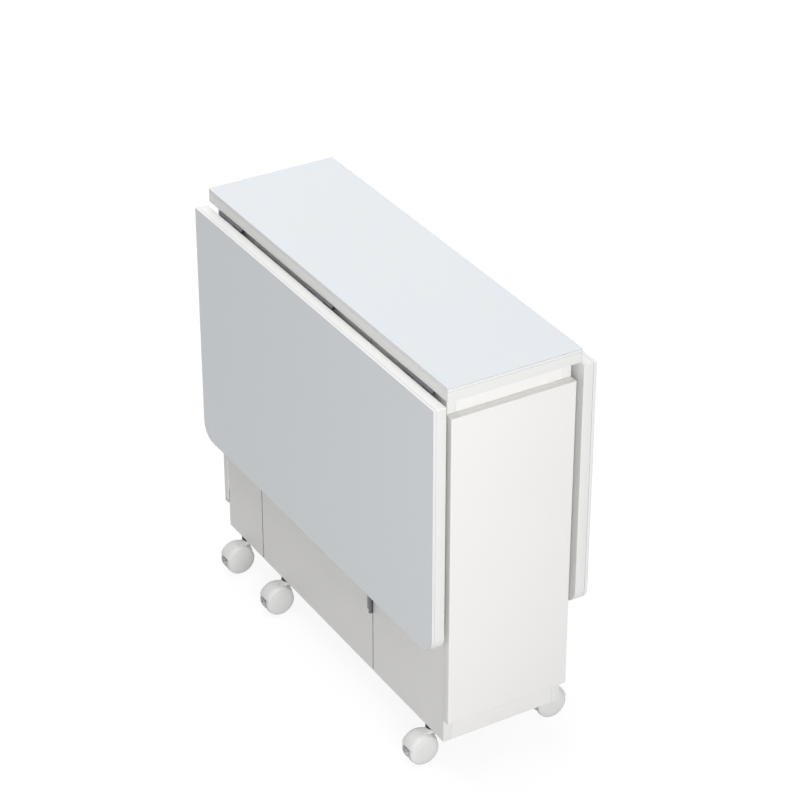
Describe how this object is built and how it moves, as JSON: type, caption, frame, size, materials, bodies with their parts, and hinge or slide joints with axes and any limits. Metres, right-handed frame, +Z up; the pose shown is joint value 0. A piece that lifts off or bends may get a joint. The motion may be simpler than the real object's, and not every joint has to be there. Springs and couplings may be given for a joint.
{
  "type": "drop-leaf table",
  "caption": "Narrow drop-leaf table on twin-wheel casters, glass-faced top and two hanging leaves, slim white cabinet with end doors and a swing gate in each long side.",
  "frame": {"origin": "on the floor below the middle of the table top", "axes": "+X along the table's length, towards the end furthest from the gates' free edges; +Y across to the back leaf; +Z up"},
  "size_m": [0.8, 0.3202, 0.76],
  "materials": {
    "white_board": "white melamine faced board with matching edge banding",
    "grey_glass": "polished glass, painted light grey on its back",
    "dark_hinge_steel": "dark plated steel, satin",
    "bracket_steel": "zinc plated steel",
    "white_nylon": "white nylon, semi-gloss",
    "black_plastic": "black plastic, matt",
    "grey_plastic": "grey plastic, matt"
  },
  "bodies": {
    "cabinet": {"top_board": "white_board", "top_glass": "grey_glass", "side_board_front_left": "white_board", "side_board_front_right": "white_board", "gate_front": "white_board", "side_board_back_left": "white_board", "side_board_back_right": "white_board", "gate_back": "white_board", "floor_board": "white_board", "deck_board": "white_board", "partition_right": "white_board", "partition_left": "white_board", "shelf_right": "white_board", "shelf_left": "white_board", "end_rail_right": "white_board", "end_rail_left": "white_board", "plinth_right": "white_board", "plinth_left": "white_board", "leaf_hinge_top_flaps": "dark_hinge_steel", "gate_hinge_board_flaps": "dark_hinge_steel", "gate_hinge_gate_flaps": "dark_hinge_steel", "door_pivot_brackets": "bracket_steel", "door_catches": "grey_plastic", "caster_collars": "black_plastic"},
    "leaf_front": {"leaf_board_front": "white_board", "leaf_glass_front": "grey_glass", "gate_rest_front": "grey_plastic", "leaf_hinge_flaps_front": "dark_hinge_steel"},
    "leaf_back": {"leaf_board_back": "white_board", "leaf_glass_back": "grey_glass", "gate_rest_back": "grey_plastic", "leaf_hinge_flaps_back": "dark_hinge_steel"},
    "end_door_right": {"door_right": "white_board", "door_strike_right": "bracket_steel"},
    "end_door_left": {"door_left": "white_board", "door_strike_left": "bracket_steel"},
    "swivel_front_right": {"caster_body_front_right": "white_nylon"},
    "wheels_front_right": {"caster_wheels_front_right": "white_nylon"},
    "pedal_front_right": {"caster_pedal_front_right": "grey_plastic"},
    "swivel_front_left": {"caster_body_front_left": "white_nylon"},
    "wheels_front_left": {"caster_wheels_front_left": "white_nylon"},
    "pedal_front_left": {"caster_pedal_front_left": "grey_plastic"},
    "swivel_front_gate": {"caster_body_front_gate": "white_nylon"},
    "wheels_front_gate": {"caster_wheels_front_gate": "white_nylon"},
    "pedal_front_gate": {"caster_pedal_front_gate": "grey_plastic"},
    "swivel_back_right": {"caster_body_back_right": "white_nylon"},
    "wheels_back_right": {"caster_wheels_back_right": "white_nylon"},
    "pedal_back_right": {"caster_pedal_back_right": "grey_plastic"},
    "swivel_back_left": {"caster_body_back_left": "white_nylon"},
    "wheels_back_left": {"caster_wheels_back_left": "white_nylon"},
    "pedal_back_left": {"caster_pedal_back_left": "grey_plastic"},
    "swivel_back_gate": {"caster_body_back_gate": "white_nylon"},
    "wheels_back_gate": {"caster_wheels_back_gate": "white_nylon"},
    "pedal_back_gate": {"caster_pedal_back_gate": "grey_plastic"}
  },
  "joints": [
    {"name": "leaf_front_fold", "type": "hinge", "parent": "cabinet", "child": "leaf_front", "pos_m": [0, -0.123, 0.732], "axis": [-1, 0, 0], "range_deg": [0, 90]},
    {"name": "leaf_back_fold", "type": "hinge", "parent": "cabinet", "child": "leaf_back", "pos_m": [0, 0.123, 0.732], "axis": [1, 0, 0], "range_deg": [0, 90]},
    {"name": "door_right_swing", "type": "hinge", "parent": "cabinet", "child": "end_door_right", "pos_m": [0.391, 0.1118, 0.408], "axis": [0, 0, 1], "range_deg": [0, 90]},
    {"name": "door_left_swing", "type": "hinge", "parent": "cabinet", "child": "end_door_left", "pos_m": [-0.391, -0.1118, 0.408], "axis": [0, 0, 1], "range_deg": [0, 90]},
    {"name": "swivel_front_right", "type": "hinge", "parent": "cabinet", "child": "swivel_front_right", "pos_m": [0.329, -0.107, 0.0615], "axis": [0, 0, 1], "continuous": true},
    {"name": "roll_front_right", "type": "hinge", "parent": "swivel_front_right", "child": "wheels_front_right", "pos_m": [0.329, -0.128, 0.028], "axis": [1, 0, 0], "continuous": true},
    {"name": "pedal_front_right_press", "type": "hinge", "parent": "swivel_front_right", "child": "pedal_front_right", "pos_m": [0.329, -0.145, 0.034], "axis": [1, 0, 0], "range_deg": [0, 10]},
    {"name": "swivel_front_left", "type": "hinge", "parent": "cabinet", "child": "swivel_front_left", "pos_m": [-0.329, -0.107, 0.0615], "axis": [0, 0, 1], "continuous": true},
    {"name": "roll_front_left", "type": "hinge", "parent": "swivel_front_left", "child": "wheels_front_left", "pos_m": [-0.329, -0.128, 0.028], "axis": [1, 0, 0], "continuous": true},
    {"name": "pedal_front_left_press", "type": "hinge", "parent": "swivel_front_left", "child": "pedal_front_left", "pos_m": [-0.329, -0.145, 0.034], "axis": [1, 0, 0], "range_deg": [0, 10]},
    {"name": "swivel_front_gate", "type": "hinge", "parent": "cabinet", "child": "swivel_front_gate", "pos_m": [-0.176, -0.107, 0.0615], "axis": [0, 0, 1], "continuous": true},
    {"name": "roll_front_gate", "type": "hinge", "parent": "swivel_front_gate", "child": "wheels_front_gate", "pos_m": [-0.176, -0.128, 0.028], "axis": [1, 0, 0], "continuous": true},
    {"name": "pedal_front_gate_press", "type": "hinge", "parent": "swivel_front_gate", "child": "pedal_front_gate", "pos_m": [-0.176, -0.145, 0.034], "axis": [1, 0, 0], "range_deg": [0, 10]},
    {"name": "swivel_back_right", "type": "hinge", "parent": "cabinet", "child": "swivel_back_right", "pos_m": [0.329, 0.107, 0.0615], "axis": [0, 0, 1], "continuous": true},
    {"name": "roll_back_right", "type": "hinge", "parent": "swivel_back_right", "child": "wheels_back_right", "pos_m": [0.329, 0.128, 0.028], "axis": [1, 0, 0], "continuous": true},
    {"name": "pedal_back_right_press", "type": "hinge", "parent": "swivel_back_right", "child": "pedal_back_right", "pos_m": [0.329, 0.145, 0.034], "axis": [-1, 0, 0], "range_deg": [0, 10]},
    {"name": "swivel_back_left", "type": "hinge", "parent": "cabinet", "child": "swivel_back_left", "pos_m": [-0.329, 0.107, 0.0615], "axis": [0, 0, 1], "continuous": true},
    {"name": "roll_back_left", "type": "hinge", "parent": "swivel_back_left", "child": "wheels_back_left", "pos_m": [-0.329, 0.128, 0.028], "axis": [1, 0, 0], "continuous": true},
    {"name": "pedal_back_left_press", "type": "hinge", "parent": "swivel_back_left", "child": "pedal_back_left", "pos_m": [-0.329, 0.145, 0.034], "axis": [-1, 0, 0], "range_deg": [0, 10]},
    {"name": "swivel_back_gate", "type": "hinge", "parent": "cabinet", "child": "swivel_back_gate", "pos_m": [-0.176, 0.107, 0.0615], "axis": [0, 0, 1], "continuous": true},
    {"name": "roll_back_gate", "type": "hinge", "parent": "swivel_back_gate", "child": "wheels_back_gate", "pos_m": [-0.176, 0.128, 0.028], "axis": [1, 0, 0], "continuous": true},
    {"name": "pedal_back_gate_press", "type": "hinge", "parent": "swivel_back_gate", "child": "pedal_back_gate", "pos_m": [-0.176, 0.145, 0.034], "axis": [-1, 0, 0], "range_deg": [0, 10]}
  ]
}
